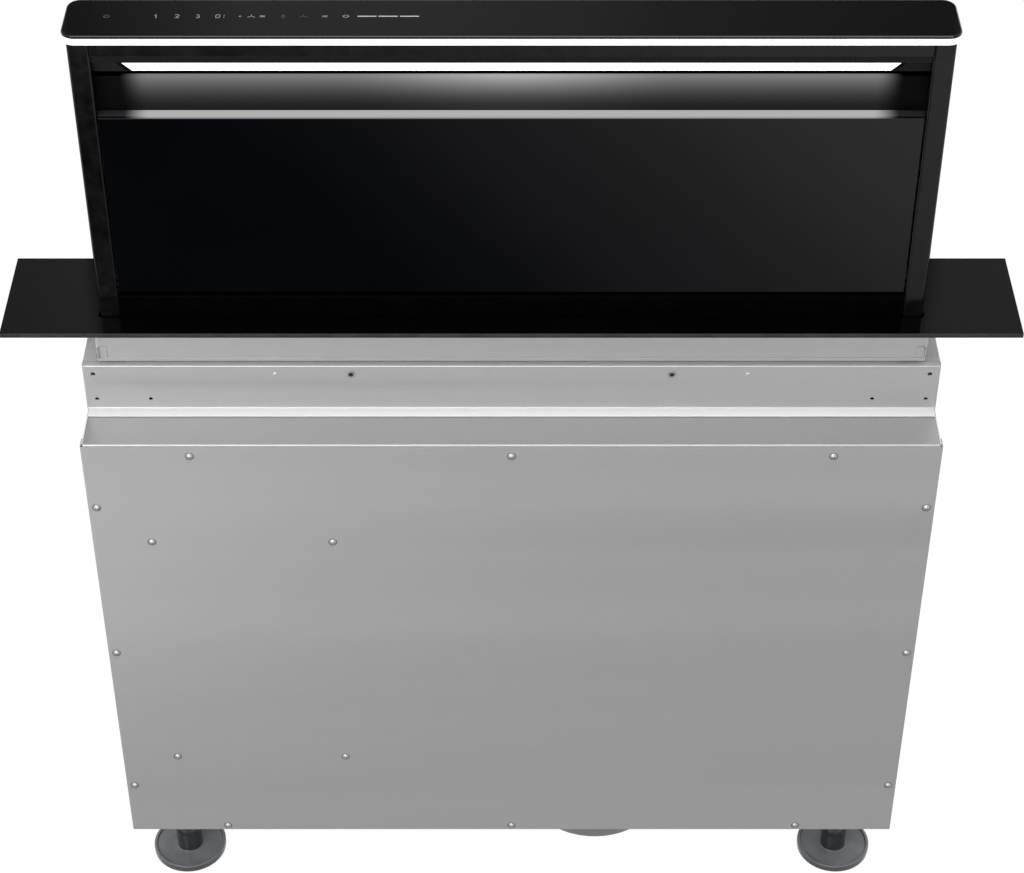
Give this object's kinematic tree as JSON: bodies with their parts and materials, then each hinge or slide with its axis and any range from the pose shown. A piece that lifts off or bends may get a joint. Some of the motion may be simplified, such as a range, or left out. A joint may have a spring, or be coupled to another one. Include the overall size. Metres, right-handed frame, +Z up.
{
  "type": "downdraft extractor",
  "caption": "Downdraft cooker extractor: a lit black glass tower that rises from a slot in a glass worktop plate, above a tall steel housing on feet with a round exhaust socket.",
  "frame": {"origin": "on the floor, under the middle of the housing", "axes": "+X to the right seen from the front, +Y to the back, +Z up; the tower is drawn raised and the door shut"},
  "size_m": [1.03, 0.3498, 1.1355],
  "materials": {
    "brushed_steel": "satin brushed",
    "galvanised_sheet": "matte zinc",
    "black_glass": "polished",
    "black_metal": "satin black",
    "aluminium": "satin",
    "light_diffuser": "opal",
    "black_plastic": "glossy dark grey",
    "white_plastic": "plain",
    "seal_brush": "matte",
    "screw_steel": "zinc plated",
    "bronze": "machined",
    "belt_rubber": "matte",
    "circuit_board": "board",
    "motor_steel": "satin"
  },
  "bodies": {
    "housing": {"side_panel_left": "galvanised_sheet", "side_panel_right": "galvanised_sheet", "neck_front": "brushed_steel", "neck_rear": "brushed_steel", "neck_rivet_nuts": "screw_steel", "shelf_front": "brushed_steel", "shelf_rear": "galvanised_sheet", "front_cover": "brushed_steel", "rear_cover": "galvanised_sheet", "bottom_panel": "galvanised_sheet", "cover_screws": "screw_steel", "control_box": "galvanised_sheet", "control_board": "circuit_board", "cable_gland": "black_plastic", "cover_plate_glass": "black_glass", "worktop_collar": "brushed_steel", "slot_seal": "seal_brush", "collar_clips": "brushed_steel", "guide_rails": "aluminium", "spindle_bearings": "galvanised_sheet", "sync_belt": "belt_rubber", "lift_motor": "motor_steel", "motor_bracket": "galvanised_sheet", "blower_scroll": "galvanised_sheet", "blower_motor": "motor_steel", "outlet_adaptor": "galvanised_sheet", "exhaust_socket": "galvanised_sheet", "foot_sockets": "screw_steel"},
    "tower": {"cap_glass": "black_glass", "cap_light_band": "light_diffuser", "cap_carrier": "black_plastic", "touch_board": "circuit_board", "tower_post_left": "black_metal", "tower_post_right": "black_metal", "tower_fascia": "black_metal", "tower_rear_panel": "black_glass", "light_bar_rail": "black_metal", "light_bar_diffuser": "light_diffuser", "air_deflector": "galvanised_sheet", "door_top_rail": "aluminium", "tower_apron": "black_metal", "tower_skirt": "brushed_steel", "filter_frame": "galvanised_sheet", "grease_filter_left": "aluminium", "grease_filter_right": "aluminium", "filter_drip_tray": "galvanised_sheet", "lift_frame": "black_metal", "spindle_nuts": "bronze", "slide_blocks": "white_plastic"},
    "front_door": {"front_glass": "black_glass", "door_frame": "black_metal"},
    "impeller": {"impeller": "aluminium"},
    "damper_flap_left": {"damper_flap_left": "aluminium"},
    "damper_flap_right": {"damper_flap_right": "aluminium"},
    "spindle_left": {"spindle_left": "screw_steel"},
    "spindle_right": {"spindle_right": "screw_steel"},
    "foot_front_left": {"foot_front_left": "black_plastic"},
    "foot_front_right": {"foot_front_right": "black_plastic"},
    "foot_rear_left": {"foot_rear_left": "black_plastic"},
    "foot_rear_right": {"foot_rear_right": "black_plastic"}
  },
  "joints": [
    {"name": "lift_slide", "type": "slide", "parent": "housing", "child": "tower", "axis": [0, 0, 1], "range_m": [-0.32, 0]},
    {"name": "front_door_hinge", "type": "hinge", "parent": "tower", "child": "front_door", "pos_m": [0, -0.102, 0.841], "axis": [1, 0, 0], "range_deg": [0, 75]},
    {"name": "impeller_spin", "type": "hinge", "parent": "housing", "child": "impeller", "pos_m": [0.036, -0.0605, 0.21], "axis": [0, 1, 0], "continuous": true},
    {"name": "damper_flap_left_hinge", "type": "hinge", "parent": "housing", "child": "damper_flap_left", "pos_m": [0.099, -0.0605, 0.105], "axis": [0, -1, 0], "range_deg": [0, 80], "stiffness_Nm_per_rad": 0.02, "springref_deg": -57.3},
    {"name": "damper_flap_right_hinge", "type": "hinge", "parent": "housing", "child": "damper_flap_right", "pos_m": [0.099, -0.0605, 0.105], "axis": [0, 1, 0], "range_deg": [0, 80], "stiffness_Nm_per_rad": 0.02, "springref_deg": -57.3},
    {"name": "spindle_left_turn", "type": "hinge", "parent": "housing", "child": "spindle_left", "pos_m": [-0.38, -0.0275, 0.3379], "axis": [0, 0, 1], "range_deg": [-5760, 0]},
    {"name": "spindle_right_turn", "type": "hinge", "parent": "housing", "child": "spindle_right", "pos_m": [0.38, -0.0275, 0.3379], "axis": [0, 0, 1], "range_deg": [-5760, 0]},
    {"name": "foot_front_left_turn", "type": "hinge", "parent": "housing", "child": "foot_front_left", "pos_m": [-0.389, -0.1099, 0.00005], "axis": [0, 0, 1], "continuous": true},
    {"name": "foot_front_right_turn", "type": "hinge", "parent": "housing", "child": "foot_front_right", "pos_m": [0.389, -0.1099, 0.00005], "axis": [0, 0, 1], "continuous": true},
    {"name": "foot_rear_left_turn", "type": "hinge", "parent": "housing", "child": "foot_rear_left", "pos_m": [-0.389, 0.1099, 0.00005], "axis": [0, 0, 1], "continuous": true},
    {"name": "foot_rear_right_turn", "type": "hinge", "parent": "housing", "child": "foot_rear_right", "pos_m": [0.389, 0.1099, 0.00005], "axis": [0, 0, 1], "continuous": true}
  ],
  "couplings": [
    {"joint": "spindle_left_turn", "follows": "lift_slide", "rad_per_m": 314.16},
    {"joint": "spindle_right_turn", "follows": "lift_slide", "rad_per_m": 314.16}
  ]
}
